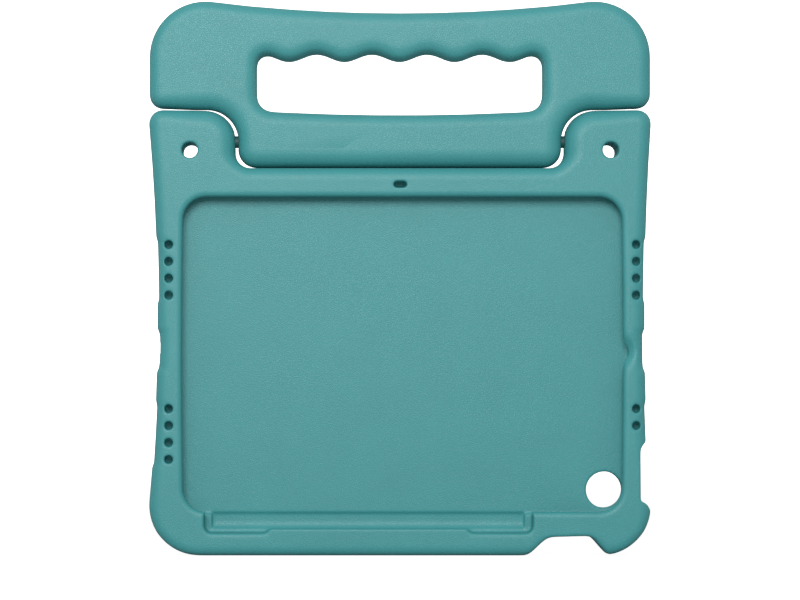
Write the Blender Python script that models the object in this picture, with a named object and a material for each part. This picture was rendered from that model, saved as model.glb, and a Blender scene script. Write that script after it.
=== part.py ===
"""Kids tablet case: a thick foam shell with a foam carry handle that folds back on two pins.

Metres, +Z up. The case stands upright on its bottom edge at z = 0, its front towards -Y.
Outlines are drawn in the front view as (x, z) points, counterclockwise.
"""
import math

import bmesh
import bpy

MM = 0.001

# How finely curves are cut into flats
ROUNDNESS = 0.06 * MM             # an arc's flats stay this close to the true arc
EDGE_STEPS = 6                    # flats across a rounded edge
FLARE_STEPS = 2                   # flats across the softened mouth of a hole
TURNED_STEPS = 36                 # flats round a pin, ring or sleeve, a multiple of 12
OVERSHOOT = 1.5 * MM              # how far a cutter runs past the face that it opens

# Clearances
RUNNING_GAP = 0.3 * MM            # between pieces that turn or seat in one another
HINGE_GAP = 1.5 * MM              # between an ear and the end of the handle's bar
FOLD_GAP = 0.5 * MM               # between the foam faces of the handle and the case

# The pocket, and the foam round it
CASE_THICKNESS = 22.0 * MM
POCKET_WIDTH = 248.6 * MM
POCKET_HEIGHT = 179.3 * MM
POCKET_DEPTH = 6.8 * MM
POCKET_CORNER = 15.0 * MM
POCKET_SHIFT = 1.2 * MM           # the pocket sits this far towards +X
BOTTOM_BORDER = 22.4 * MM
TOP_BORDER = 10.0 * MM
SIDE_BORDER = 12.9 * MM           # beside the pocket, at the ears and the lower corners
LEFT_WAIST = 4.7 * MM             # how far the sides curve in between those
RIGHT_WAIST = 3.5 * MM
FOOT_CORNER = 27.3 * MM
EDGE_ROUND = 6.5 * MM             # front and back edges of the foam
FOOT_ROUND = 4.0 * MM             # the same along the bottom, where the case stands
HINGE_ROUND = 9.5 * MM            # the same on the ears' inner corners, which the handle passes

# The lip that holds what is in the pocket
LIP_THICKNESS = 4.5 * MM
LIP_SIDE = 4.5 * MM
LIP_TOP = 6.1 * MM
LIP_BOTTOM = 1.6 * MM
LIP_ROUND = 2.4 * MM
WINDOW_CORNER = 12.6 * MM
WINDOW_BOW = 0.9 * MM             # how far the window's sides bow outwards

# The ears that carry the handle
EAR_WIDTH = 47.3 * MM
EAR_HEIGHT = 31.7 * MM            # above the bed that the handle's bar lies in
EAR_OUTER_CORNER = 7.6 * MM
EAR_INNER_CORNER = 16.9 * MM
BED_CORNER = 8.2 * MM
STRAP_HOLE = 8.7 * MM
STRAP_HOLE_INSET = 22.6 * MM      # from the side of the case
STRAP_HOLE_DROP = 22.3 * MM       # below the top of the ear

# Dents in the sides, beside the sound holes and the port
SIDE_DROP = 1.0 * MM              # how far the rows of holes lie below the pocket's middle
DENT_DEPTH = 0.8 * MM
DENT_RAMP = 3.0 * MM
PORT_DENT_DEPTH = 1.2 * MM
PORT_DENT_LENGTH = 24.0 * MM

# Sound holes, four to a row, above and below the middle of each side
SOUND_HOLE = 4.8 * MM
SOUND_HOLE_PITCH = 9.2 * MM
SOUND_HOLES = 4
SOUND_HOLE_START = 30.9 * MM      # the innermost hole, from the middle of the pocket
SOUND_HOLE_WALL = 3.0 * MM        # from the pocket's side to the middle of a hole
SOUND_HOLE_DEPTH = 9.4 * MM
SOUND_SLOT_HEIGHT = 4.2 * MM

# Other openings to the pocket
SENSOR_SLOT_WIDTH = 7.4 * MM
SENSOR_SLOT_HEIGHT = 3.5 * MM
PORT_WIDTH = 14.0 * MM
PORT_HEIGHT = 7.2 * MM            # along Y
BUTTON_SLOT_HEIGHT = 4.8 * MM     # along Y
LENS_OPENING = 20.0 * MM
LENS_INSET = 13.2 * MM            # from the pocket's side and bottom
LENS_FLARE = 2.5 * MM
DISH_BOTTOM = 8.7 * MM            # the dish in the lip, on its inner and outer face
DISH_TOP = 18.4 * MM
DISH_INSET = 5.8 * MM             # from the pocket's side to the middle of the dish

# The notches at the lower right, which clear the buttons
POWER_NOTCH_DEPTH = 6.2 * MM      # in from the corner's side
POWER_NOTCH_BOTTOM = 30.0 * MM
POWER_NOTCH_LENGTH = 29.0 * MM
POWER_NOTCH_RAMP = 5.5 * MM
VOLUME_NOTCH_START = 67.9 * MM    # its left end, from the middle of the case
VOLUME_NOTCH_LENGTH = 45.5 * MM
VOLUME_NOTCH_HEIGHT = 10.8 * MM
VOLUME_NOTCH_FALL = 0.6 * MM      # how much lower its ceiling is at the left
VOLUME_NOTCH_ROUND = 5.4 * MM
LEFT_RAMP = 12.4 * MM             # how far the notch's ends slope
RIGHT_RAMP = 9.2 * MM
RAMP_TOE_LENGTH = 3.2 * MM        # the gentler foot of the left slope
RAMP_TOE_HEIGHT = 1.3 * MM
BUTTON_SLOT_MARGIN = 4.0 * MM     # from a notch's ends to its button slot

# The groove along the bottom, with a wider scoop at each end
GROOVE_START = -106.9 * MM
GROOVE_END = 72.4 * MM
GROOVE_DIAMETER = 9.4 * MM
GROOVE_DROP = 4.1 * MM            # its middle, below the pocket's bottom
GROOVE_LIP = 3.5 * MM             # the front lip's edge, below the groove's middle
SCOOP_LENGTH = 36.0 * MM
SCOOP_DROP = 2.5 * MM             # the scoop's edge, below the front lip's edge
SCOOP_CORNER = 4.0 * MM

# The shallow recess in the back
BACK_RECESS_DEPTH = 2.5 * MM
BACK_RECESS_SIDE = 14.0 * MM      # the rim beside the recess, from the pocket's side
BACK_RECESS_END = 18.0 * MM       # the rim above and below it, from the pocket's ends
BACK_RECESS_CORNER = 24.0 * MM

# The handle
HANDLE_THICKNESS = 20.0 * MM
HANDLE_ROUND = 6.5 * MM
BAR_ROUND = 8.5 * MM              # the same on the bar and the inner corners, which pass the ears
HANDLE_RISE = 76.8 * MM           # the handle's highest point, above the pins
BAR_DROP = 14.0 * MM              # the bar's lower edge, below the pins
BAR_CORNER = 9.8 * MM
WING_CORNER = 7.0 * MM
HANDLE_INSET = 0.3 * MM           # how far the wings stay in from the case's sides
WING_TILT = 1.2 * MM              # how much the wings' lower edge rises to the outside
WING_RUN = 25.0 * MM              # from where it starts to rise to the wing's side
WING_BEND = 60.0 * MM
SHOULDER_CORNER = 30.6 * MM
TOP_DIP = 6.5 * MM                # how far the top edge dips in its middle
GRIP_WIDTH = 156.3 * MM
GRIP_BOTTOM = 14.5 * MM           # the grip hole's lower edge at its middle, above the pins
GRIP_DIP = 2.2 * MM
GRIP_CORNER = 8.7 * MM
GRIP_ROUND = 5.5 * MM
FINGER_RISE = 46.1 * MM           # the middle height of the finger waves, above the pins
FINGER_WAVE = 2.2 * MM
FINGER_PITCH = 30.3 * MM
FINGER_MARGIN = 8.0 * MM          # from the grip hole's ends to the first and last wave
FINGER_STEPS = 40

# The hinge: a pin keyed in a bush in the bar turns in a socket in the ear
PIN_DROP_IN_EAR = 17.1 * MM       # the pins' height, below the top of the ears
PIN_DIAMETER = 5.4 * MM
PIN_COLLAR = 6.6 * MM
PIN_HEX = 5.2 * MM                # across the flats of the end that is keyed in the bush
HINGE_RECESS = 2.4 * MM           # how far socket and bush sit in from the foam's face
SLEEVE_DIAMETER = 11.0 * MM
SLEEVE_LENGTH = 13.4 * MM
SLEEVE_RIB = 0.8 * MM             # how far a bush's or socket's ribs stand out
SLEEVE_RIBS = 4
RIB_SHARE = 0.3                   # the share of the round that the ribs take
RING_DIAMETER = 8.2 * MM
RING_WIDTH = 2.0 * MM
LUG_REACH = 1.7 * MM              # how far the stop lug stands out from the pin
LUG_WIDTH = 2.2 * MM
LUG_ANGLE = 40.0
FOLD_ANGLE = 105.0                # the handle's travel, from upright to folded back
STOP_SLACK = 3.0                  # degrees between the lug and its stop at either limit

# Places that follow from the sizes above
FRONT = -CASE_THICKNESS / 2
BACK = CASE_THICKNESS / 2
HALF_WIDTH = POCKET_WIDTH / 2 + SIDE_BORDER
POCKET_BOTTOM = BOTTOM_BORDER
POCKET_TOP = POCKET_BOTTOM + POCKET_HEIGHT
POCKET_MIDDLE = (POCKET_BOTTOM + POCKET_TOP) / 2
SIDE_MIDDLE = POCKET_MIDDLE - SIDE_DROP
POCKET_LEFT = POCKET_SHIFT - POCKET_WIDTH / 2
POCKET_RIGHT = POCKET_SHIFT + POCKET_WIDTH / 2
POCKET_FRONT = FRONT + LIP_THICKNESS
POCKET_FLOOR = POCKET_FRONT + POCKET_DEPTH
POCKET_CENTRE_Y = (POCKET_FRONT + POCKET_FLOOR) / 2
BED = POCKET_TOP + TOP_BORDER
EAR_TOP = BED + EAR_HEIGHT
EAR_INNER = HALF_WIDTH - EAR_WIDTH
BAR_END = EAR_INNER - HINGE_GAP
PIN_Z = EAR_TOP - PIN_DROP_IN_EAR
WING_BOTTOM = EAR_TOP + FOLD_GAP
HANDLE_SIDE = HALF_WIDTH - HANDLE_INSET
FINGER_SPAN = GRIP_WIDTH - 2 * FINGER_MARGIN
SOCKET_MOUTH = EAR_INNER + HINGE_RECESS
BUSH_MOUTH = BAR_END - HINGE_RECESS


def smooth(value, low, high):
    """0 below low, 1 above high, with a smooth step between."""
    share = min(1.0, max(0.0, (value - low) / (high - low)))
    return share * share * (3.0 - 2.0 * share)


def arc_steps(radius, angle):
    """Flats that keep an arc within ROUNDNESS of its true curve."""
    step = 2.0 * math.acos(max(0.5, 1.0 - ROUNDNESS / radius))
    return max(2, math.ceil(angle / step))


def bow(depth, half_length, spread=0.8):
    """(offset, radius) of a corner in the middle of a run, whose arc bows it by depth."""
    offset = depth / (1.0 - spread / 2.0)
    return offset, spread * half_length ** 2 / offset


def outline(corners):
    """A closed outline of (x, z) points from (x, z, radius) corners, each rounded by an arc."""
    points = []
    for i, (x, z, radius) in enumerate(corners):
        before = corners[i - 1]
        after = corners[(i + 1) % len(corners)]
        way_in = math.atan2(z - before[1], x - before[0])
        way_out = math.atan2(after[1] - z, after[0] - x)
        turn = (way_out - way_in + math.pi) % (2.0 * math.pi) - math.pi
        if radius == 0 or abs(turn) < 1e-6:
            points.append((x, z))
            continue
        reach = radius * math.tan(abs(turn) / 2.0)
        side = math.copysign(1.0, turn)
        middle_x = x - reach * math.cos(way_in) - side * radius * math.sin(way_in)
        middle_z = z - reach * math.sin(way_in) + side * radius * math.cos(way_in)
        steps = arc_steps(radius, abs(turn))
        for step in range(steps + 1):
            heading = way_in + turn * step / steps
            points.append((
                middle_x + side * radius * math.sin(heading),
                middle_z - side * radius * math.cos(heading),
            ))
    return points


def grown(points, distance):
    """The outline moved outwards by distance, one value or one for each point."""
    moved = []
    for i, (x, z) in enumerate(points):
        amount = distance[i] if isinstance(distance, list) else distance
        before = points[i - 1]
        after = points[(i + 1) % len(points)]
        length_in = math.dist(before, (x, z))
        length_out = math.dist((x, z), after)
        normal_in = ((z - before[1]) / length_in, (before[0] - x) / length_in)
        normal_out = ((after[1] - z) / length_out, (x - after[0]) / length_out)
        spread = 1.0 + normal_in[0] * normal_out[0] + normal_in[1] * normal_out[1]
        moved.append((
            x + amount * (normal_in[0] + normal_out[0]) / spread,
            z + amount * (normal_in[1] + normal_out[1]) / spread,
        ))
    return moved


def circle(x, z, diameter):
    """A round outline."""
    radius = diameter / 2
    steps = 2 * arc_steps(radius, math.pi)
    angles = [2.0 * math.pi * step / steps for step in range(steps)]
    return [(x + radius * math.cos(a), z + radius * math.sin(a)) for a in angles]


def rectangle(left, bottom, right, top, corner):
    """A rectangular outline with rounded corners."""
    return outline([
        (left, bottom, corner),
        (right, bottom, corner),
        (right, top, corner),
        (left, top, corner),
    ])


def rings_of(points, radii, front, back):
    """Rings of (x, y, z) points from front to back, with both edges rounded inwards by radii."""
    rings = []
    for face, depth in ((front, 1.0), (back, -1.0)):
        half = []
        for step in range(EDGE_STEPS + 1):
            angle = math.radians(90.0) * step / EDGE_STEPS
            inset = [-radius * (1.0 - math.sin(angle)) for radius in radii]
            drop = [radius * (1.0 - math.cos(angle)) for radius in radii]
            moved = grown(points, inset)
            half.append([(x, face + depth * d, z) for (x, z), d in zip(moved, drop)])
        rings += half if depth > 0 else half[::-1]
    return rings


def add_rings(mesh, rings, closed=False):
    """Adds the rings' vertices to a bmesh, with a wall between each ring and the next."""
    loops = [[mesh.verts.new(point) for point in ring] for ring in rings]
    pairs = list(zip(loops, loops[1:]))
    if closed:
        pairs.append((loops[-1], loops[0]))
    for low, high in pairs:
        for i in range(len(low)):
            j = (i + 1) % len(low)
            mesh.faces.new((low[i], low[j], high[j], high[i]))
    return loops


def add_object(name, mesh, material=None):
    """Turns a bmesh into an object, its faces pointing out."""
    bmesh.ops.recalc_face_normals(mesh, faces=mesh.faces)
    data = bpy.data.meshes.new(name)
    mesh.to_mesh(data)
    mesh.free()
    data.shade_smooth()
    data.set_sharp_from_angle(angle=math.radians(35.0))
    piece = bpy.data.objects.new(name, data)
    bpy.context.scene.collection.objects.link(piece)
    if material:
        data.materials.append(material)
    return piece


def loft(name, rings, material=None):
    """A solid skinned over rings of as many points each, with flat ends."""
    mesh = bmesh.new()
    loops = add_rings(mesh, rings)
    mesh.faces.new(loops[0])
    mesh.faces.new(loops[-1])
    return add_object(name, mesh, material)


def cutter(name, points, start, end, start_flare=0.0, end_flare=0.0):
    """A cutting solid along Y. A flared end opens like a trumpet up to the face at that end."""
    rings = []
    for face, depth, flare in ((start, 1.0, start_flare), (end, -1.0, end_flare)):
        half = [[(x, face, z) for x, z in points]]
        if flare:
            half = [[(x, face - depth * OVERSHOOT, z) for x, z in grown(points, flare)]]
            for step in range(FLARE_STEPS + 1):
                angle = math.radians(90.0) * step / FLARE_STEPS
                wide = grown(points, flare * (1.0 - math.sin(angle)))
                drop = flare * (1.0 - math.cos(angle))
                half.append([(x, face + depth * drop, z) for x, z in wide])
        rings += half if depth > 0 else half[::-1]
    return as_cutter(loft(name, rings))


def cutter_along_x(name, section, start, end):
    """A cutting solid along X, from a section of (y, z) points."""
    rings = [[(x, y, z) for y, z in section] for x in (start, end)]
    return as_cutter(loft(name, rings))


def cutter_box(name, low, high):
    """A plain box that cuts, from its lowest to its highest corner."""
    section = [(low[1], low[2]), (high[1], low[2]), (high[1], high[2]), (low[1], high[2])]
    return cutter_along_x(name, section, low[0], high[0])


def as_cutter(piece):
    """Marks an object as a construction aid."""
    piece.hide_render = True
    piece.display_type = "WIRE"
    return piece


def cut(piece, tool, operation="DIFFERENCE"):
    """Cuts a piece by a cutter, or joins it on."""
    step = piece.modifiers.new(tool.name, "BOOLEAN")
    step.operation = operation
    step.solver = "EXACT"
    step.object = tool


def paint(name, colour, roughness):
    """A plain material of one colour, given in linear light."""
    material = bpy.data.materials.new(name)
    material.use_nodes = True
    shader = material.node_tree.nodes["Principled BSDF"]
    shader.inputs["Base Color"].default_value = (*colour, 1.0)
    shader.inputs["Roughness"].default_value = roughness
    shader.inputs["Metallic"].default_value = 0.0
    return material


def clear_scene():
    """Removes whatever the scene holds."""
    for piece in list(bpy.data.objects):
        bpy.data.objects.remove(piece, do_unlink=True)


def side_x(z, waist):
    """Half the case's width at height z: widest at the ears and lower corners."""
    low = FOOT_CORNER
    high = EAR_TOP - EAR_OUTER_CORNER
    middle = (low + high) / 2
    share = (z - middle) / (high - middle)
    return HALF_WIDTH - waist * (1.0 - share * share)


def dent(z):
    """How far the side is dented at height z, beside the sound holes and the port."""
    depth = 0.0
    for middle, half_length, deepest in dents():
        off = abs(z - middle)
        depth = max(depth, deepest * (1.0 - smooth(off, half_length - DENT_RAMP, half_length)))
    return depth


def dents():
    """(middle height, half length, depth) of each dent."""
    row = SOUND_HOLE_PITCH * (SOUND_HOLES - 1) / 2
    half_row = row + SOUND_HOLE_PITCH / 2
    away = SOUND_HOLE_START + row
    return [
        (SIDE_MIDDLE + away, half_row, DENT_DEPTH),
        (SIDE_MIDDLE - away, half_row, DENT_DEPTH),
        (POCKET_MIDDLE, PORT_DENT_LENGTH / 2, PORT_DENT_DEPTH),
    ]


def side_heights():
    """Heights of the points along a side: more of them where a dent begins or ends."""
    low = FOOT_CORNER + 6.0 * MM
    high = EAR_TOP - EAR_OUTER_CORNER - 2.0 * MM
    heights = [low, low + (dents()[1][0] - dents()[1][1] - low) / 2]
    for middle, half_length, _ in sorted(dents()):
        for end in (-1.0, 1.0):
            ramp = [half_length, half_length - DENT_RAMP / 2, half_length - DENT_RAMP]
            heights += [middle + end * off for off in ramp]
        heights.append(middle)
    last = max(heights)
    heights += [last + (high - last) * share for share in (0.33, 0.66, 1.0)]
    return sorted(heights)


def half_outline(waist):
    """The outer edge of one side of the case, from its foot up to the middle of its ear."""
    heights = side_heights()
    widths = [side_x(z, waist) for z in heights]
    slope_low = (widths[0] - widths[1]) / (heights[1] - heights[0])
    slope_high = (widths[-1] - widths[-2]) / (heights[-1] - heights[-2])
    foot_x = widths[0] + slope_low * heights[0]
    ear_x = widths[-1] + slope_high * (EAR_TOP - heights[-1])
    return [
        (foot_x, 0.0, FOOT_CORNER),
        *[(x - dent(z), z, 0) for x, z in zip(widths, heights)],
        (ear_x, EAR_TOP, EAR_OUTER_CORNER),
        (EAR_INNER, EAR_TOP, EAR_INNER_CORNER),
        (EAR_INNER, BED, BED_CORNER),
    ]


def case_outline():
    """The case's outer edge, with two ears that stand up beside the handle's bar."""
    left = [(-x, z, radius) for x, z, radius in half_outline(LEFT_WAIST)[::-1]]
    return outline(half_outline(RIGHT_WAIST) + left)


def case_edge(x, z):
    """Rounding of the case's front and back edges at a point of its outline."""
    radius = FOOT_ROUND + (EDGE_ROUND - FOOT_ROUND) * smooth(z, 0.0, FOOT_CORNER)
    beside_bar = smooth(z, BED + 1.0 * MM, BED + BED_CORNER)
    inner = 1.0 - smooth(abs(x), EAR_INNER + EAR_INNER_CORNER, HALF_WIDTH - EAR_OUTER_CORNER)
    return radius + (HINGE_ROUND - radius) * beside_bar * inner


def window_outline():
    """The edge of the lip, with its sides bowed a little outwards."""
    left = POCKET_LEFT + LIP_SIDE + WINDOW_BOW / 2
    right = POCKET_RIGHT - LIP_SIDE - WINDOW_BOW / 2
    bottom = POCKET_BOTTOM + LIP_BOTTOM
    top = POCKET_TOP - LIP_TOP
    offset, radius = bow(WINDOW_BOW, (top - bottom) / 2)
    return outline([
        (left, bottom, WINDOW_CORNER),
        (right, bottom, WINDOW_CORNER),
        (right + offset, (bottom + top) / 2, radius),
        (right, top, WINDOW_CORNER),
        (left, top, WINDOW_CORNER),
        (left - offset, (bottom + top) / 2, radius),
    ])


def cut_pocket(case):
    """The pocket, open to the front inside its lip."""
    cut(case, cutter("window_cut", window_outline(), FRONT, POCKET_FRONT + OVERSHOOT, LIP_ROUND))
    pocket = rectangle(POCKET_LEFT, POCKET_BOTTOM, POCKET_RIGHT, POCKET_TOP, POCKET_CORNER)
    cut(case, cutter("pocket_cut", pocket, POCKET_FRONT, POCKET_FLOOR))


def cut_groove(case):
    """The round groove under the pocket, held behind a low front lip, with a scoop at each end."""
    radius = GROOVE_DIAMETER / 2
    middle_y = POCKET_FRONT + math.sqrt(radius ** 2 - GROOVE_LIP ** 2)
    middle_z = POCKET_BOTTOM - GROOVE_DROP
    lip_z = middle_z - GROOVE_LIP
    top_z = POCKET_BOTTOM + LIP_BOTTOM + OVERSHOOT
    start = math.atan2(-GROOVE_LIP, POCKET_FRONT - middle_y)
    sweep = -start
    steps = arc_steps(radius, sweep)
    section = [(FRONT - OVERSHOOT, lip_z)]
    for step in range(steps + 1):
        angle = start + sweep * step / steps
        section.append((middle_y + radius * math.cos(angle), middle_z + radius * math.sin(angle)))
    section += [
        (middle_y + radius, POCKET_BOTTOM + OVERSHOOT / 2),
        (POCKET_FRONT + OVERSHOOT / 2, POCKET_BOTTOM + OVERSHOOT / 2),
        (POCKET_FRONT + OVERSHOOT / 2, top_z),
        (FRONT - OVERSHOOT, top_z),
    ]
    ends = SCOOP_CORNER
    cut(case, cutter_along_x("groove_cut", section, GROOVE_START + ends, GROOVE_END - ends))
    for name, left in (("left", GROOVE_START), ("right", GROOVE_END - SCOOP_LENGTH)):
        scoop = rectangle(left, lip_z - SCOOP_DROP, left + SCOOP_LENGTH, top_z, SCOOP_CORNER)
        depth = middle_y + radius / 2
        cut(case, cutter(f"scoop_{name}_cut", scoop, FRONT, depth, SCOOP_CORNER / 4))


def sound_hole_count(side, first):
    """How many holes a row has. The power notch takes the place of the lowest on its side."""
    clear = first - POWER_NOTCH_BOTTOM - POWER_NOTCH_LENGTH - SOUND_HOLE
    fitting = 1 + int(clear / SOUND_HOLE_PITCH)
    return min(SOUND_HOLES, fitting) if side > 0 and first < SIDE_MIDDLE else SOUND_HOLES


def cut_sound_holes(case):
    """Rows of blind holes in the front, each row joined to the pocket by a slot behind."""
    low_y = POCKET_CENTRE_Y - SOUND_SLOT_HEIGHT / 2
    high_y = POCKET_CENTRE_Y + SOUND_SLOT_HEIGHT / 2
    margin = SOUND_HOLE / 4
    for side, edge in ((-1.0, POCKET_LEFT), (1.0, POCKET_RIGHT)):
        x = edge + side * SOUND_HOLE_WALL
        inside = edge - side * OVERSHOOT
        for end in (-1.0, 1.0):
            first = SIDE_MIDDLE + end * SOUND_HOLE_START
            count = sound_hole_count(side, first)
            heights = [first + end * SOUND_HOLE_PITCH * number for number in range(count)]
            row = f"{side:+.0f}_{end:+.0f}"
            for number, z in enumerate(heights):
                hole = circle(x, z, SOUND_HOLE)
                tool = cutter(
                    f"sound_hole_{row}_{number}_cut", hole,
                    FRONT - OVERSHOOT, FRONT + SOUND_HOLE_DEPTH,
                )
                cut(case, tool)
            cut(case, cutter_box(
                f"sound_slot_{row}_cut",
                (min(x, inside), low_y, min(heights) - margin),
                (max(x, inside), high_y, max(heights) + margin),
            ))


def cut_ports(case):
    """Openings for the sensor, the port, the rear lens and the dish in the lip."""
    half = SENSOR_SLOT_WIDTH / 2
    low = POCKET_TOP - SENSOR_SLOT_HEIGHT / 3
    slot = rectangle(-half, low, half, low + SENSOR_SLOT_HEIGHT, SENSOR_SLOT_HEIGHT * 0.49)
    cut(case, cutter("sensor_slot_cut", slot, FRONT - OVERSHOOT, POCKET_CENTRE_Y))
    middle = (POCKET_CENTRE_Y, POCKET_MIDDLE)
    half_port = (PORT_HEIGHT / 2, PORT_WIDTH / 2)
    port = rectangle(
        middle[0] - half_port[0], middle[1] - half_port[1],
        middle[0] + half_port[0], middle[1] + half_port[1], half_port[0] * 0.95,
    )
    cut(case, cutter_along_x("port_cut", port, -HALF_WIDTH, POCKET_LEFT + OVERSHOOT))
    lens = circle(POCKET_RIGHT - LENS_INSET, POCKET_BOTTOM + LENS_INSET, LENS_OPENING)
    cut(case, cutter("lens_cut", lens, POCKET_FLOOR - OVERSHOOT, BACK, 0.0, LENS_FLARE))
    dish_x = POCKET_RIGHT - DISH_INSET
    widening = (DISH_TOP - DISH_BOTTOM) / LIP_THICKNESS
    dish = []
    for y in (FRONT - OVERSHOOT, POCKET_FRONT + OVERSHOOT / 4):
        points = circle(0.0, 0.0, DISH_TOP)
        share = (DISH_BOTTOM + widening * (POCKET_FRONT - y)) / DISH_TOP
        dish.append([(dish_x + share * x, y, SIDE_MIDDLE + share * z) for x, z in points])
    cut(case, as_cutter(loft("dish_cut", dish)))


def cut_notches(case):
    """The notches that clear the buttons, each with a slot to the pocket."""
    past = HALF_WIDTH + 2 * OVERSHOOT
    through = (FRONT - OVERSHOOT, BACK + OVERSHOOT)
    button = (POCKET_CENTRE_Y - BUTTON_SLOT_HEIGHT / 2, POCKET_CENTRE_Y + BUTTON_SLOT_HEIGHT / 2)
    wall = HALF_WIDTH - POWER_NOTCH_DEPTH
    top = POWER_NOTCH_BOTTOM + POWER_NOTCH_LENGTH
    power = outline([
        (wall, POWER_NOTCH_BOTTOM, 0),
        (wall + 0.6 * POWER_NOTCH_DEPTH, POWER_NOTCH_BOTTOM - 0.3 * POWER_NOTCH_DEPTH,
         POWER_NOTCH_DEPTH),
        (past, POWER_NOTCH_BOTTOM - 1.2 * (past - wall), 0),
        (past, top + POWER_NOTCH_RAMP * (past - wall) / POWER_NOTCH_DEPTH, 0),
        (wall, top, POWER_NOTCH_RAMP),
    ])
    cut(case, cutter("power_notch_cut", power, *through))
    cut(case, cutter_box(
        "power_slot_cut",
        (POCKET_RIGHT - OVERSHOOT, button[0], POWER_NOTCH_BOTTOM + BUTTON_SLOT_MARGIN),
        (wall + OVERSHOOT, button[1], top - BUTTON_SLOT_MARGIN),
    ))
    left = VOLUME_NOTCH_START
    right = left + VOLUME_NOTCH_LENGTH
    ceiling = VOLUME_NOTCH_HEIGHT - VOLUME_NOTCH_FALL
    volume = outline([
        (left - OVERSHOOT, -OVERSHOOT, 0),
        (right + OVERSHOOT, -OVERSHOOT, 0),
        (right - RIGHT_RAMP, VOLUME_NOTCH_HEIGHT, VOLUME_NOTCH_ROUND),
        (left + LEFT_RAMP, ceiling, 1.6 * VOLUME_NOTCH_ROUND),
        (left + RAMP_TOE_LENGTH, RAMP_TOE_HEIGHT, VOLUME_NOTCH_ROUND),
    ])
    cut(case, cutter("volume_notch_cut", volume, *through))
    cut(case, cutter_box(
        "volume_slot_cut",
        (left + LEFT_RAMP + BUTTON_SLOT_MARGIN, button[0], ceiling / 2),
        (right - RIGHT_RAMP - BUTTON_SLOT_MARGIN, button[1], POCKET_BOTTOM + OVERSHOOT),
    ))


def cut_back(case):
    """The shallow recess in the back, inside a soft rim."""
    recess = rectangle(
        POCKET_LEFT + BACK_RECESS_SIDE, POCKET_BOTTOM + BACK_RECESS_END,
        POCKET_RIGHT - BACK_RECESS_SIDE, POCKET_TOP - BACK_RECESS_END, BACK_RECESS_CORNER,
    )
    cut(case, cutter("back_cut", recess, BACK - BACK_RECESS_DEPTH, BACK, 0.0, BACK_RECESS_DEPTH))


def sleeve_radius(angle):
    """A bush's or socket's outer radius at an angle round it, with its ribs."""
    turn = (angle * SLEEVE_RIBS / (2.0 * math.pi)) % 1.0
    on_rib = abs(turn - 0.5) < RIB_SHARE / 2
    return SLEEVE_DIAMETER / 2 + (SLEEVE_RIB if on_rib else 0.0)


def hex_radius(angle):
    """The radius of the pin's hexagonal end at an angle round it."""
    within = (angle % math.radians(60.0)) - math.radians(30.0)
    return PIN_HEX / 2 / math.cos(within)


def ring_at(x, radius, grow=0.0):
    """A ring of points round the pins' axis at x. radius is a size, or a function of the angle."""
    points = []
    for step in range(TURNED_STEPS):
        angle = 2.0 * math.pi * step / TURNED_STEPS
        size = grow + (radius(angle) if callable(radius) else radius)
        points.append((x, size * math.cos(angle), PIN_Z + size * math.sin(angle)))
    return points


def sector(name, inner, outer, start, end, low_x, high_x):
    """A block between two radii and two angles in degrees round the pins' axis."""
    steps = max(2, math.ceil((end - start) / 15.0))
    angles = [math.radians(start + (end - start) * step / steps) for step in range(steps + 1)]
    section = [(outer * math.cos(a), PIN_Z + outer * math.sin(a)) for a in angles]
    section += [(inner * math.cos(a), PIN_Z + inner * math.sin(a)) for a in angles[::-1]]
    return cutter_along_x(name, section, min(low_x, high_x), max(low_x, high_x))


def sleeve_bore(name, face, shoulder, end):
    """A foam bore: narrow round the pin's collar at the face, and wide round the sleeve."""
    sections = [
        (face, PIN_COLLAR / 2),
        (shoulder, PIN_COLLAR / 2),
        (shoulder, sleeve_radius),
        (end, sleeve_radius),
    ]
    rings = [ring_at(x, radius, RUNNING_GAP) for x, radius in sections]
    return as_cutter(loft(name, rings))


def cut_case_hinges(case, side, name):
    """An ear's bore for its socket, and its hole for a strap."""
    face = EAR_INNER - OVERSHOOT
    shoulder = SOCKET_MOUTH - RUNNING_GAP
    end = SOCKET_MOUTH + SLEEVE_LENGTH + RUNNING_GAP
    bore = sleeve_bore(f"socket_bore_{name}_cut", side * face, side * shoulder, side * end)
    cut(case, bore)
    strap = circle(side * (HALF_WIDTH - STRAP_HOLE_INSET), EAR_TOP - STRAP_HOLE_DROP, STRAP_HOLE)
    flare = STRAP_HOLE / 18
    cut(case, cutter(f"strap_hole_{name}_cut", strap, FRONT, BACK, flare, flare))


def make_case(foam):
    """The foam shell."""
    points = case_outline()
    radii = [case_edge(x, z) for x, z in points]
    case = loft("case_body", rings_of(points, radii, FRONT, BACK), foam)
    cut_pocket(case)
    cut_groove(case)
    cut_sound_holes(case)
    cut_ports(case)
    cut_notches(case)
    cut_back(case)
    for side, name in ((-1.0, "left"), (1.0, "right")):
        cut_case_hinges(case, side, name)
    return case


def handle_outline():
    """The handle's outer edge: a bar between the ears, and a wing over each ear."""
    top = PIN_Z + HANDLE_RISE
    run = HANDLE_SIDE - SHOULDER_CORNER
    arc_half = 0.95 * run
    slope = TOP_DIP / (run - arc_half / 2)
    shoulder_z = top + SHOULDER_CORNER * slope
    half = [
        (BAR_END, PIN_Z - BAR_DROP, BAR_CORNER),
        (BAR_END, WING_BOTTOM, EAR_INNER_CORNER + FOLD_GAP),
        (HANDLE_SIDE - WING_RUN, WING_BOTTOM, WING_BEND),
        (HANDLE_SIDE, WING_BOTTOM + WING_TILT, WING_CORNER),
        (HANDLE_SIDE, shoulder_z, SHOULDER_CORNER),
    ]
    dip = (0.0, shoulder_z - HANDLE_SIDE * slope, arc_half / slope)
    return outline(half + [dip] + [(-x, z, size) for x, z, size in half[::-1]])


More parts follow.
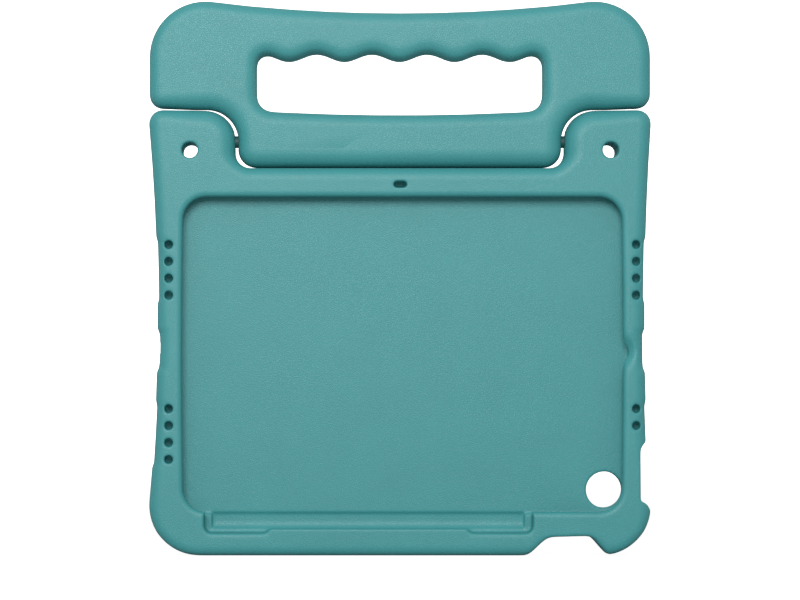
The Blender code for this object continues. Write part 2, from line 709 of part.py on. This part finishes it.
def handle_edge(x, z):
    """Rounding of the handle's front and back edges at a point of its outline."""
    low = 1.0 - smooth(z, WING_BOTTOM + 2.0 * MM, WING_BOTTOM + 10.0 * MM)
    inner = 1.0 - smooth(abs(x), EAR_INNER + EAR_INNER_CORNER, HALF_WIDTH - WING_CORNER)
    return HANDLE_ROUND + (BAR_ROUND - HANDLE_ROUND) * low * inner


def grip_outline():
    """The grip hole: a dipped lower edge, and waves above for the fingers."""
    half = GRIP_WIDTH / 2
    bottom = PIN_Z + GRIP_BOTTOM + GRIP_DIP
    offset, radius = bow(GRIP_DIP, half, 0.76)
    waves = []
    for step in range(FINGER_STEPS + 1):
        x = FINGER_SPAN / 2 - FINGER_SPAN * step / FINGER_STEPS
        wave = FINGER_WAVE * math.cos(2.0 * math.pi * x / FINGER_PITCH)
        waves.append((x, PIN_Z + FINGER_RISE - wave, 0))
    corner_z = waves[0][1] + FINGER_WAVE
    corner = (half - FINGER_SPAN / 2) * 0.7
    return outline([
        (-half, bottom, GRIP_CORNER),
        (0.0, bottom - offset, radius),
        (half, bottom, GRIP_CORNER),
        (half, corner_z, corner),
        *waves,
        (-half, corner_z, corner),
    ])


def make_handle(foam):
    """The foam handle, one moulding with a grip hole."""
    front = -HANDLE_THICKNESS / 2
    back = HANDLE_THICKNESS / 2
    points = handle_outline()
    radii = [handle_edge(x, z) for x, z in points]
    handle = loft("carry_handle", rings_of(points, radii, front, back), foam)
    cut(handle, cutter("grip_cut", grip_outline(), front, back, GRIP_ROUND, GRIP_ROUND))
    for side, name in ((-1.0, "left"), (1.0, "right")):
        shoulder = BUSH_MOUTH + RUNNING_GAP
        end = BUSH_MOUTH - SLEEVE_LENGTH - RUNNING_GAP
        bore = sleeve_bore(f"bush_bore_{name}_cut", side * EAR_INNER, side * shoulder, side * end)
        cut(handle, bore)
    return handle


def make_pin(side, name, plastic):
    """A hinge pin: hexagonal in the handle, a collar in the gap, round in the ear, with a lug."""
    collar_start = BUSH_MOUTH + RUNNING_GAP
    collar_end = SOCKET_MOUTH - RUNNING_GAP
    key_end = BUSH_MOUTH - SLEEVE_LENGTH
    tip = SOCKET_MOUTH + SLEEVE_LENGTH
    sections = [
        (key_end, hex_radius),
        (collar_start, hex_radius),
        (collar_start, PIN_COLLAR / 2),
        (collar_end, PIN_COLLAR / 2),
        (collar_end, PIN_DIAMETER / 2),
        (tip, PIN_DIAMETER / 2),
    ]
    rings = [ring_at(side * x, radius) for x, radius in sections]
    pin = loft(f"hinge_pin_{name}", rings, plastic)
    inner = PIN_DIAMETER / 4
    outer = PIN_DIAMETER / 2 + LUG_REACH
    lug_x = (side * (tip - LUG_WIDTH), side * tip)
    lug = sector(f"lug_{name}", inner, outer, -LUG_ANGLE / 2, LUG_ANGLE / 2, *lug_x)
    cut(pin, lug, "UNION")
    return pin


def sleeve(name, inner_sections, outer_sections, plastic):
    """A sleeve whose bore and outside are each a list of (x, radius)."""
    mesh = bmesh.new()
    rings = [ring_at(x, radius) for x, radius in outer_sections + inner_sections[::-1]]
    add_rings(mesh, rings, closed=True)
    return add_object(name, mesh, plastic)


def make_socket(side, name, plastic):
    """The sleeve in an ear that a pin turns in, with room for its ring and stops for its lug."""
    mouth = SOCKET_MOUTH
    end = SOCKET_MOUTH + SLEEVE_LENGTH
    bore = PIN_DIAMETER / 2 + RUNNING_GAP
    ring_room = RING_DIAMETER / 2 + RUNNING_GAP
    ring_end = mouth + RING_WIDTH + 2 * RUNNING_GAP
    inside = [
        (side * mouth, ring_room),
        (side * ring_end, ring_room),
        (side * ring_end, bore),
        (side * end, bore),
    ]
    outside = [(side * mouth, sleeve_radius), (side * end, sleeve_radius)]
    socket = sleeve(f"ear_socket_{name}", inside, outside, plastic)
    # Seen along -X the handle folds from +Z to +Y, so the lug swings down from +Y.
    half = LUG_ANGLE / 2 + STOP_SLACK
    outer = PIN_DIAMETER / 2 + LUG_REACH + RUNNING_GAP
    room_x = (side * (end - LUG_WIDTH - RUNNING_GAP), side * (end + OVERSHOOT))
    inner = PIN_DIAMETER / 4
    room = sector(f"lug_room_{name}", inner, outer, -FOLD_ANGLE - half, half, *room_x)
    cut(socket, room)
    return socket


def make_ring(side, name, rubber):
    """The rubber ring round a pin in its socket, whose drag holds the handle at any angle."""
    start = SOCKET_MOUTH + RUNNING_GAP
    radii = (PIN_DIAMETER / 2 + RUNNING_GAP, RING_DIAMETER / 2)
    inside = [(side * x, radii[0]) for x in (start, start + RING_WIDTH)]
    outside = [(side * x, radii[1]) for x in (start, start + RING_WIDTH)]
    return sleeve(f"friction_ring_{name}", inside, outside, rubber)


def make_bush(side, name, plastic):
    """The sleeve in the handle's bar that a pin's hexagonal end is keyed in."""
    ends = (BUSH_MOUTH, BUSH_MOUTH - SLEEVE_LENGTH)

    def keyway(angle):
        return hex_radius(angle) + RUNNING_GAP

    inside = [(side * x, keyway) for x in ends]
    outside = [(side * x, sleeve_radius) for x in ends]
    return sleeve(f"handle_bush_{name}", inside, outside, plastic)


def main():
    """Builds the whole case."""
    clear_scene()
    foam = paint("teal_foam", (0.105, 0.350, 0.352), 0.75)
    plastic = paint("hinge_plastic", (0.020, 0.085, 0.080), 0.45)
    rubber = paint("ring_rubber", (0.015, 0.015, 0.016), 0.80)
    make_case(foam)
    make_handle(foam)
    for side, name in ((-1.0, "left"), (1.0, "right")):
        make_pin(side, name, plastic)
        make_socket(side, name, plastic)
        make_ring(side, name, rubber)
        make_bush(side, name, plastic)


main()
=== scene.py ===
"""The looks of the kids tablet case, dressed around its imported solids.

Metres, +Z up, as in the solids: the case stands on z = 0 with its front towards -Y.
The two foam mouldings get a finer skin with soft edges, a parting line and a grained surface.
The pins, rings and sleeves of the hinge get broken edges and a moulded finish.
"""
import math

import bpy
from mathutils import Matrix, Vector


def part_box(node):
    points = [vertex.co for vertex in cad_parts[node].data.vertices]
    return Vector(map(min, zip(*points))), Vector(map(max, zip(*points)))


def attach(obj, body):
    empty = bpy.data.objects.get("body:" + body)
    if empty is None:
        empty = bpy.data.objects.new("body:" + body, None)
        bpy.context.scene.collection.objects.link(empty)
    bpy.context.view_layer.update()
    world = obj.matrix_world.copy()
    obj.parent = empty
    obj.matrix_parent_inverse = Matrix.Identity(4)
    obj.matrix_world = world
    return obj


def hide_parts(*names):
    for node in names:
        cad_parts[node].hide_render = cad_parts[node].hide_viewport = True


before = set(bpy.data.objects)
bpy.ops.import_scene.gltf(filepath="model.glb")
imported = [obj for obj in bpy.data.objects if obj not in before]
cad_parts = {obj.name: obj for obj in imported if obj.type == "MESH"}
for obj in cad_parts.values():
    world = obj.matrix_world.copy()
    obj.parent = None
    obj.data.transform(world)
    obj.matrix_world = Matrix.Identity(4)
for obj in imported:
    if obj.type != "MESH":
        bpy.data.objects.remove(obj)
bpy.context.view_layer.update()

MM = 0.001

# The foam's skin
SKIN_GRID = 0.5 * MM              # spacing of the skin's points before it is thinned
SMOOTHING_SHARE = 0.5             # how far each round moves a point towards its neighbours
WEIGHT_STEPS = 10                 # how finely the smoothing's strength is graded
SOFTENING = 20                    # rounds of smoothing that take the hard edges off
CASE_TRIANGLES = 190000
HANDLE_TRIANGLES = 120000

# The line where the two halves of the mould meet
PARTING_PLACE = 1.0 * MM          # its y, just behind the middle of the foam
PARTING_HALF_WIDTH = 0.45 * MM
PARTING_HEIGHT = 0.16 * MM
RIM = 12.0 * MM                   # how far in from the foam's box its outer rim reaches
RIM_LEAN = 0.2                    # how much the rim may face the front or the back

# The foam stays crisp round the pins, where it closes on their collars
CRISP_RADIUS = 6.0 * MM
CRISP_LENGTH = 6.0 * MM           # beyond the collar's ends

# The grip, the foot and the dish beside the window are rounded more than the rest
ROUNDING = 120                    # rounds of smoothing
GRIP_HALF_WIDTH = 86.0 * MM
GRIP_BASE = 12.0 * MM             # where the grip's rounding starts, above the pins
FOOT_HEIGHT = 7.0 * MM
DISH_MIDDLE = (125.0 * MM, 110.5 * MM)
DISH_REACH = 8.0 * MM
DISH_BACK = -4.0 * MM             # its y, behind which the foam stays as it is
FADE = 6.0 * MM                   # how far the rounding takes to fade out

# The hinge pieces
EDGE_BREAK = 0.18 * MM
EDGE_BREAK_STEPS = 2
EDGE_BREAK_ANGLE = 40.0           # in degrees: edges that turn more than this are broken
SMOOTH_ANGLE = 30.0               # in degrees: edges that turn less than this look round
MERGE_DISTANCE = 0.001 * MM

# The grain, in repeats a metre where it is a scale
LEAN_SCALE = 260.0
LEAN_DETAIL = 2.0
LEAN_REACH = 1.2 * MM             # how far the pebbles are pushed about
CREASE_WIDTH = 0.28               # as a share of a pebble
CREASE_DEPTH = 0.8                # as a share of the grain's depth
PORE_SCALE = 2600.0
PORE_DETAIL = 3.0

# The tone of the pigment
CLOUDS_PER_METRE = 35.0
CLOUD_DETAIL = 4.0
CLOUD_ROUGHNESS = 0.6
CLOUD_LOW = 0.3                   # the cloud values between which the tone shifts
CLOUD_HIGH = 0.7
TONE_SHIFT = 0.035
# Painted shade: the share of the darker crease colour that the grain's creases take
CREASE_SHADE_SHARE = 0.35                # how much of the deeper colour the creases take

# The gloss, which goes where the surface is seen at a slant
GLOSS_SPREAD = 0.05
MATT_ROUGHNESS = 0.95
SLANT_START = 0.35
SLANT_END = 0.85

# The camera, set back from the front of the foam
SENSOR_WIDTH = 36.0               # in millimetres, as Blender wants it
VIEW_WIDTH = 435.1 * MM           # what the picture spans at the front of the foam
VIEW_DISTANCE = 1300.0 * MM
VIEW_MIDDLE_X = -0.165 * MM       # the place that the middle of the picture shows
VIEW_MIDDLE_Z = 139.32 * MM
CAMERA_X = -41.5 * MM
CAMERA_Z = 92.0 * MM

# The floor, and the sweep that it rises in behind the case
FLOOR_WIDTH = 8.0
FLOOR_FRONT = -3.0
SWEEP_START = 1.6
SWEEP_RADIUS = 0.9
SWEEP_STEPS = 24
SWEEP_HEIGHT = 3.2
AT_PLACE = 1.0 * MM               # how near a place still counts as there
PAPER_ROUGHNESS = 0.9
FLOOR_TONE = 0.4                  # how much light the floor throws back on the case
FLOOR_SHOWN = 1.19                # how bright it is to the camera
FLOOR_WHITENESS = 0.8             # the share of that which no shadow dims
BACKDROP_GLOW = 0.8               # light that the paper gives off where it rises

# The lights
KEY_PLACE = (-0.18, -1.48, 0.75)
KEY_WIDTH = 0.9
KEY_HEIGHT = 0.65
KEY_POWER = 16.5
LIGHT_TARGET = (0.0, 0.0, 0.15)
WHITE = (1.0, 1.0, 1.0, 1.0)
ROOM_STRENGTH = 0.5               # light from all round
ROOM_SHOWN = 1.0                  # the same as the camera sees it

# Where the pins lie. The left one mirrors the right one.
pin_low, pin_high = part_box("hinge_pin_right")
pin_z = (pin_low.z + pin_high.z) / 2.0


# Selecting and finishing meshes

def pick(piece):
    """Makes piece the only selected object, and the active one."""
    bpy.ops.object.select_all(action="DESELECT")
    piece.select_set(True)
    bpy.context.view_layer.objects.active = piece


def merged_copy(node, name):
    """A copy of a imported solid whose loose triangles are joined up."""
    piece = bpy.data.objects.new(name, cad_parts[node].data.copy())
    bpy.context.scene.collection.objects.link(piece)
    pick(piece)
    bpy.ops.mesh.customdata_custom_splitnormals_clear()
    bpy.ops.object.mode_set(mode="EDIT")
    bpy.ops.mesh.select_all(action="SELECT")
    bpy.ops.mesh.remove_doubles(threshold=MERGE_DISTANCE)
    bpy.ops.object.mode_set(mode="OBJECT")
    return piece


def apply_modifier(piece, kind, **settings):
    """Adds a modifier to piece with these settings, and applies it."""
    pick(piece)
    modifier = piece.modifiers.new(kind.title(), kind)
    for setting, value in settings.items():
        setattr(modifier, setting, value)
    bpy.ops.object.modifier_apply(modifier=modifier.name)


def give_material(piece, material):
    """Makes material the only one on piece."""
    piece.data.materials.clear()
    piece.data.materials.append(material)


# The foam mouldings

def raise_parting_line(piece, node):
    """Lifts the thin line round the foam where the two halves of its mould met."""
    low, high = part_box(node)
    left = low.x + RIM
    right = high.x - RIM
    bottom = low.z + RIM
    top = high.z - RIM
    mesh = piece.data
    mesh.polygons.foreach_set("select", [False] * len(mesh.polygons))
    mesh.edges.foreach_set("select", [False] * len(mesh.edges))
    for vertex in mesh.vertices:
        x, y, z = vertex.co
        near = abs(y - PARTING_PLACE) < PARTING_HALF_WIDTH
        outside = x < left or x > right or z < bottom or z > top
        vertex.select = near and outside and abs(vertex.normal.y) < RIM_LEAN
    pick(piece)
    bpy.ops.object.mode_set(mode="EDIT")
    bpy.ops.mesh.select_mode(type="VERT")
    bpy.ops.transform.shrink_fatten(value=PARTING_HEIGHT)
    bpy.ops.object.mode_set(mode="OBJECT")


def ramp(value, zero_at, one_at):
    """Goes evenly from 0 to 1 as value goes from zero_at to one_at, and no further."""
    return max(0.0, min(1.0, (value - zero_at) / (one_at - zero_at)))


def away_from_pins(place):
    """1 where the foam's edges go soft, 0 round the holes that the pins pass through."""
    from_axis = math.hypot(place.y, place.z - pin_z)
    beside = pin_low.x - CRISP_LENGTH < abs(place.x) < pin_high.x + CRISP_LENGTH
    return 0.0 if beside and from_axis < CRISP_RADIUS else 1.0


def at_grip(place):
    """1 round the grip hole, fading to 0 towards the wings and the bar."""
    inside = ramp(abs(place.x), GRIP_HALF_WIDTH + 2.0 * FADE, GRIP_HALF_WIDTH)
    return inside * ramp(place.z - pin_z, GRIP_BASE - FADE, GRIP_BASE)


def at_foot_and_dish(place):
    """1 along the bottom edge that the case stands on and in the front's dish."""
    from_dish = math.hypot(place.x - DISH_MIDDLE[0], place.z - DISH_MIDDLE[1])
    in_dish = ramp(from_dish, DISH_REACH + FADE, DISH_REACH) if place.y < DISH_BACK else 0.0
    return max(in_dish, ramp(place.z, FOOT_HEIGHT + FADE, FOOT_HEIGHT))


def smooth_where(piece, name, weight_at, rounds):
    """Smooths piece as strongly as weight_at says for each place."""
    graded = {}
    for vertex in piece.data.vertices:
        step = round(WEIGHT_STEPS * weight_at(vertex.co))
        if step > 0:
            graded.setdefault(step, []).append(vertex.index)
    group = piece.vertex_groups.new(name=name)
    for step, chosen in graded.items():
        group.add(chosen, step / WEIGHT_STEPS, "REPLACE")
    apply_modifier(
        piece, "SMOOTH", factor=SMOOTHING_SHARE, iterations=rounds, vertex_group=name,
    )


def foam_moulding(node, name, body, triangles, rounded_at):
    """A foam moulding with a fine skin, its edges as soft as the mould leaves them."""
    piece = merged_copy(node, name)
    grid = SKIN_GRID
    apply_modifier(piece, "REMESH", mode="VOXEL", voxel_size=grid)
    smooth_where(piece, "soft", away_from_pins, SOFTENING)
    smooth_where(piece, "round", rounded_at, ROUNDING)
    raise_parting_line(piece, node)
    # The skin is all four-sided faces, so it has twice as many triangles
    skin_triangles = 2 * len(piece.data.polygons)
    apply_modifier(piece, "DECIMATE", ratio=min(1.0, triangles / skin_triangles))
    pick(piece)
    bpy.ops.object.shade_smooth()
    give_material(piece, foam)
    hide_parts(node)
    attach(piece, body)


# The hinge

def hinge_piece(node, body, material):
    """A pin, ring or sleeve with its sharp edges broken."""
    piece = merged_copy(node, node + "_finish")
    apply_modifier(
        piece, "BEVEL", width=EDGE_BREAK, segments=EDGE_BREAK_STEPS, limit_method="ANGLE",
        angle_limit=math.radians(EDGE_BREAK_ANGLE),
    )
    pick(piece)
    bpy.ops.object.shade_smooth_by_angle(angle=math.radians(SMOOTH_ANGLE))
    give_material(piece, material)
    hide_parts(node)
    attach(piece, body)


# Materials

def grain_group():
    """The surface that a leather-grained mould leaves: small pebbles with creases between them."""
    group = bpy.data.node_groups.new("moulded grain", "ShaderNodeTree")
    sockets = group.interface
    sockets.new_socket("Place", in_out="INPUT", socket_type="NodeSocketVector")
    sockets.new_socket("Pebbles per metre", in_out="INPUT", socket_type="NodeSocketFloat")
    sockets.new_socket("Height", in_out="OUTPUT", socket_type="NodeSocketFloat")
    sockets.new_socket("Crease", in_out="OUTPUT", socket_type="NodeSocketFloat")
    nodes = group.nodes
    link = group.links.new
    given = nodes.new("NodeGroupInput")
    result = nodes.new("NodeGroupOutput")

    # The pebbles lean and stretch unevenly, so a slow noise shifts where they are read
    lean = nodes.new("ShaderNodeTexNoise")
    lean.inputs["Scale"].default_value = LEAN_SCALE
    lean.inputs["Detail"].default_value = LEAN_DETAIL
    shift = nodes.new("ShaderNodeVectorMath")
    shift.operation = "MULTIPLY_ADD"
    shift.inputs[1].default_value = (LEAN_REACH, LEAN_REACH, LEAN_REACH)
    link(given.outputs["Place"], lean.inputs["Vector"])
    link(lean.outputs["Color"], shift.inputs[0])
    link(given.outputs["Place"], shift.inputs[2])

    # Creases run where two pebbles meet
    pebbles = nodes.new("ShaderNodeTexVoronoi")
    pebbles.feature = "DISTANCE_TO_EDGE"
    link(shift.outputs[0], pebbles.inputs["Vector"])
    link(given.outputs["Pebbles per metre"], pebbles.inputs["Scale"])
    crease = nodes.new("ShaderNodeMapRange")
    crease.interpolation_type = "SMOOTHSTEP"
    crease.inputs["From Max"].default_value = CREASE_WIDTH
    crease.inputs["To Min"].default_value = 1.0
    crease.inputs["To Max"].default_value = 0.0
    link(pebbles.outputs["Distance"], crease.inputs["Value"])

    # Fine pores roughen the pebbles' tops
    pores = nodes.new("ShaderNodeTexNoise")
    pores.inputs["Scale"].default_value = PORE_SCALE
    pores.inputs["Detail"].default_value = PORE_DETAIL
    link(given.outputs["Place"], pores.inputs["Vector"])
    height = nodes.new("ShaderNodeMath")
    height.operation = "MULTIPLY_ADD"
    height.inputs[1].default_value = -CREASE_DEPTH
    link(crease.outputs["Result"], height.inputs[0])
    link(pores.outputs["Fac"], height.inputs[2])
    link(height.outputs[0], result.inputs["Height"])
    link(crease.outputs["Result"], result.inputs["Crease"])
    return group


def mottle_group():
    """Slow, cloudy changes of tone, as one batch of pigment leaves in a moulding."""
    group = bpy.data.node_groups.new("pigment clouds", "ShaderNodeTree")
    sockets = group.interface
    sockets.new_socket("Place", in_out="INPUT", socket_type="NodeSocketVector")
    sockets.new_socket("Clouds per metre", in_out="INPUT", socket_type="NodeSocketFloat")
    sockets.new_socket("Cloud", in_out="OUTPUT", socket_type="NodeSocketFloat")
    nodes = group.nodes
    link = group.links.new
    given = nodes.new("NodeGroupInput")
    result = nodes.new("NodeGroupOutput")
    noise = nodes.new("ShaderNodeTexNoise")
    noise.inputs["Detail"].default_value = CLOUD_DETAIL
    noise.inputs["Roughness"].default_value = CLOUD_ROUGHNESS
    link(given.outputs["Place"], noise.inputs["Vector"])
    link(given.outputs["Clouds per metre"], noise.inputs["Scale"])
    link(noise.outputs["Fac"], result.inputs["Cloud"])
    return group


def moulded_material(name, colour, crease_shade_colour, pebbles, depth, roughness):
    """A moulded finish with so many pebbles a metre, and grain of this depth in metres."""
    material = bpy.data.materials.new(name)
    material.use_nodes = True
    nodes = material.node_tree.nodes
    link = material.node_tree.links.new
    shader = nodes["Principled BSDF"]
    place = nodes.new("ShaderNodeTexCoord")

    grain = nodes.new("ShaderNodeGroup")
    grain.node_tree = grain_nodes
    grain.inputs["Pebbles per metre"].default_value = pebbles
    link(place.outputs["Object"], grain.inputs["Place"])
    clouds = nodes.new("ShaderNodeGroup")
    clouds.node_tree = mottle_nodes
    clouds.inputs["Clouds per metre"].default_value = CLOUDS_PER_METRE
    link(place.outputs["Object"], clouds.inputs["Place"])

    # Colour: clouds shift the tone a little, and the creases are darkened a touch as painted shade
    tone = nodes.new("ShaderNodeMapRange")
    tone.inputs["From Min"].default_value = CLOUD_LOW
    tone.inputs["From Max"].default_value = CLOUD_HIGH
    tone.inputs["To Min"].default_value = 1.0 - TONE_SHIFT
    tone.inputs["To Max"].default_value = 1.0 + TONE_SHIFT
    link(clouds.outputs["Cloud"], tone.inputs["Value"])
    tinted = nodes.new("ShaderNodeVectorMath")
    tinted.operation = "SCALE"
    tinted.inputs[0].default_value = colour
    link(tone.outputs["Result"], tinted.inputs["Scale"])
    weight = nodes.new("ShaderNodeMath")
    weight.operation = "MULTIPLY"
    weight.inputs[1].default_value = CREASE_SHADE_SHARE
    # The creases take the darker colour here, as painted shade in the grain
    crease_shaded = nodes.new("ShaderNodeMix")
    crease_shaded.data_type = "RGBA"
    crease_shaded.inputs["B"].default_value = (*crease_shade_colour, 1.0)
    link(grain.outputs["Crease"], weight.inputs[0])
    link(weight.outputs[0], crease_shaded.inputs["Factor"])
    link(tinted.outputs[0], crease_shaded.inputs["A"])
    link(crease_shaded.outputs["Result"], shader.inputs["Base Color"])

    # Gloss: the mould leaves the tops of the pebbles smoother than the creases
    gloss = nodes.new("ShaderNodeMapRange")
    gloss.inputs["To Min"].default_value = roughness - GLOSS_SPREAD
    gloss.inputs["To Max"].default_value = roughness + GLOSS_SPREAD
    link(grain.outputs["Crease"], gloss.inputs["Value"])

    # Seen at a slant the grain hides its gloss, so the surface turns matt there
    slant = nodes.new("ShaderNodeLayerWeight")
    matt = nodes.new("ShaderNodeMapRange")
    matt.interpolation_type = "SMOOTHSTEP"
    matt.inputs["From Min"].default_value = SLANT_START
    matt.inputs["From Max"].default_value = SLANT_END
    finish = nodes.new("ShaderNodeMix")
    finish.inputs["B"].default_value = MATT_ROUGHNESS
    link(slant.outputs["Facing"], matt.inputs["Value"])
    link(matt.outputs["Result"], finish.inputs["Factor"])
    link(gloss.outputs["Result"], finish.inputs["A"])
    link(finish.outputs["Result"], shader.inputs["Roughness"])

    bump = nodes.new("ShaderNodeBump")
    bump.inputs["Distance"].default_value = depth
    link(grain.outputs["Height"], bump.inputs["Height"])
    link(bump.outputs["Normal"], shader.inputs["Normal"])
    return material


def paper_material():
    """Matt studio paper: the camera sees it nearly white, the case gets less light from it."""
    material = bpy.data.materials.new("pale studio paper")
    material.use_nodes = True
    nodes = material.node_tree.nodes
    link = material.node_tree.links.new
    paper = nodes["Principled BSDF"]
    paper.inputs["Base Color"].default_value = (FLOOR_TONE, FLOOR_TONE, FLOOR_TONE, 1.0)
    paper.inputs["Roughness"].default_value = PAPER_ROUGHNESS
    glow = nodes.new("ShaderNodeEmission")
    glow.inputs["Strength"].default_value = FLOOR_SHOWN
    ray = nodes.new("ShaderNodeLightPath")
    share = nodes.new("ShaderNodeMath")
    share.operation = "MULTIPLY"
    share.inputs[1].default_value = FLOOR_WHITENESS
    shown = nodes.new("ShaderNodeMixShader")
    link(ray.outputs["Is Camera Ray"], share.inputs[0])
    link(share.outputs[0], shown.inputs["Fac"])
    link(paper.outputs["BSDF"], shown.inputs[1])
    link(glow.outputs["Emission"], shown.inputs[2])

    # The part that rises behind the case is lit from behind
    place = nodes.new("ShaderNodeTexCoord")
    along = nodes.new("ShaderNodeSeparateXYZ")
    rise = nodes.new("ShaderNodeMapRange")
    rise.inputs["From Min"].default_value = SWEEP_START - SWEEP_RADIUS
    rise.inputs["From Max"].default_value = SWEEP_START
    rise.inputs["To Max"].default_value = BACKDROP_GLOW
    back_light = nodes.new("ShaderNodeEmission")
    lit = nodes.new("ShaderNodeAddShader")
    link(place.outputs["Object"], along.inputs["Vector"])
    link(along.outputs["Y"], rise.inputs["Value"])
    link(rise.outputs["Result"], back_light.inputs["Strength"])
    link(shown.outputs[0], lit.inputs[0])
    link(back_light.outputs["Emission"], lit.inputs[1])
    link(lit.outputs[0], nodes["Material Output"].inputs["Surface"])
    return material


# The studio

def select_back_edge(floor, back):
    """Goes into edit mode with only the edge selected where the floor turns up."""
    bpy.ops.object.mode_set(mode="EDIT")
    bpy.ops.mesh.select_mode(type="EDGE")
    bpy.ops.mesh.select_all(action="DESELECT")
    bpy.ops.object.mode_set(mode="OBJECT")
    for edge in floor.data.edges:
        ends = [floor.data.vertices[i].co for i in edge.vertices]
        edge.select = all(end.y > back - AT_PLACE and end.z < AT_PLACE for end in ends)
    bpy.ops.object.mode_set(mode="EDIT")


def make_floor():
    """A pale floor that sweeps up behind the case."""
    back = SWEEP_START + SWEEP_RADIUS
    bpy.ops.object.select_all(action="DESELECT")
    bpy.ops.mesh.primitive_plane_add(size=1.0, location=(0.0, 0.0, 0.0))
    floor = bpy.context.active_object
    floor.name = "studio_floor"
    bpy.ops.object.mode_set(mode="EDIT")
    bpy.ops.transform.resize(value=(FLOOR_WIDTH, back - FLOOR_FRONT, 1.0))
    bpy.ops.transform.translate(value=(0.0, (FLOOR_FRONT + back) / 2.0, 0.0))
    select_back_edge(floor, back)
    bpy.ops.mesh.extrude_region_move(
        TRANSFORM_OT_translate={"value": (0.0, 0.0, SWEEP_HEIGHT)}
    )
    select_back_edge(floor, back)
    bpy.ops.mesh.bevel(offset=SWEEP_RADIUS, segments=SWEEP_STEPS, affect="EDGES")
    bpy.ops.object.mode_set(mode="OBJECT")
    bpy.ops.object.shade_smooth()
    give_material(floor, paper_material())


def make_softbox():
    """A rectangular softbox above and in front of the case, pointed at its middle."""
    light = bpy.data.lights.new("large softbox", "AREA")
    light.shape = "RECTANGLE"
    light.size = KEY_WIDTH
    light.size_y = KEY_HEIGHT
    light.energy = KEY_POWER
    holder = bpy.data.objects.new("large softbox", light)
    holder.location = KEY_PLACE
    holder.visible_camera = False
    direction = Vector(LIGHT_TARGET) - holder.location
    holder.rotation_euler = direction.to_track_quat("-Z", "Y").to_euler()
    bpy.context.scene.collection.objects.link(holder)


def light_room():
    """Even light from all round, which the camera sees as white."""
    world = bpy.data.worlds.new("studio room")
    bpy.context.scene.world = world
    world.use_nodes = True
    nodes = world.node_tree.nodes
    link = world.node_tree.links.new
    background = nodes["Background"]
    background.inputs["Color"].default_value = WHITE
    ray = nodes.new("ShaderNodeLightPath")
    strength = nodes.new("ShaderNodeMapRange")
    strength.inputs["To Min"].default_value = ROOM_STRENGTH
    strength.inputs["To Max"].default_value = ROOM_SHOWN
    link(ray.outputs["Is Camera Ray"], strength.inputs["Value"])
    link(strength.outputs["Result"], background.inputs["Strength"])


def make_camera():
    """The camera looks straight along +Y and is shifted, so upright lines stay upright."""
    camera = bpy.data.cameras.new("camera")
    camera.sensor_width = SENSOR_WIDTH
    camera.lens = SENSOR_WIDTH * VIEW_DISTANCE / VIEW_WIDTH
    camera.shift_x = (VIEW_MIDDLE_X - CAMERA_X) / VIEW_WIDTH
    camera.shift_y = (VIEW_MIDDLE_Z - CAMERA_Z) / VIEW_WIDTH
    holder = bpy.data.objects.new("camera", camera)
    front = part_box("case_body")[0].y
    holder.location = (CAMERA_X, front - VIEW_DISTANCE, CAMERA_Z)
    holder.rotation_euler = (math.radians(90.0), 0.0, 0.0)
    bpy.context.scene.collection.objects.link(holder)
    bpy.context.scene.camera = holder


# Finishes
grain_nodes = grain_group()
mottle_nodes = mottle_group()
# Each finish's crease colour is a darker copy of its colour, painted as shade into the grain's
# creases
foam = moulded_material(
    "teal grained foam", colour=(0.058, 0.32, 0.331), crease_shade_colour=(0.04, 0.25, 0.26),
    pebbles=1000.0, depth=0.06 * MM, roughness=0.42,
)
hinge_plastic = moulded_material(
    "dark teal hinge plastic", colour=(0.012, 0.09, 0.086), crease_shade_colour=(0.008, 0.06, 0.057),
    pebbles=3200.0, depth=0.01 * MM, roughness=0.55,
)
ring_rubber = moulded_material(
    "black ring rubber", colour=(0.02, 0.02, 0.021), crease_shade_colour=(0.012, 0.012, 0.012),
    pebbles=2400.0, depth=0.02 * MM, roughness=0.7,
)

# Pieces
foam_moulding("case_body", "case_foam", "case", CASE_TRIANGLES, at_foot_and_dish)
foam_moulding("carry_handle", "handle_foam", "handle", HANDLE_TRIANGLES, at_grip)
for side in ("left", "right"):
    hinge_piece("ear_socket_" + side, "case", hinge_plastic)
    hinge_piece("hinge_pin_" + side, "handle", hinge_plastic)
    hinge_piece("handle_bush_" + side, "handle", hinge_plastic)
    hinge_piece("friction_ring_" + side, "case", ring_rubber)

# Studio
make_floor()
make_softbox()
light_room()
make_camera()
bpy.context.scene.view_settings.view_transform = "Standard"
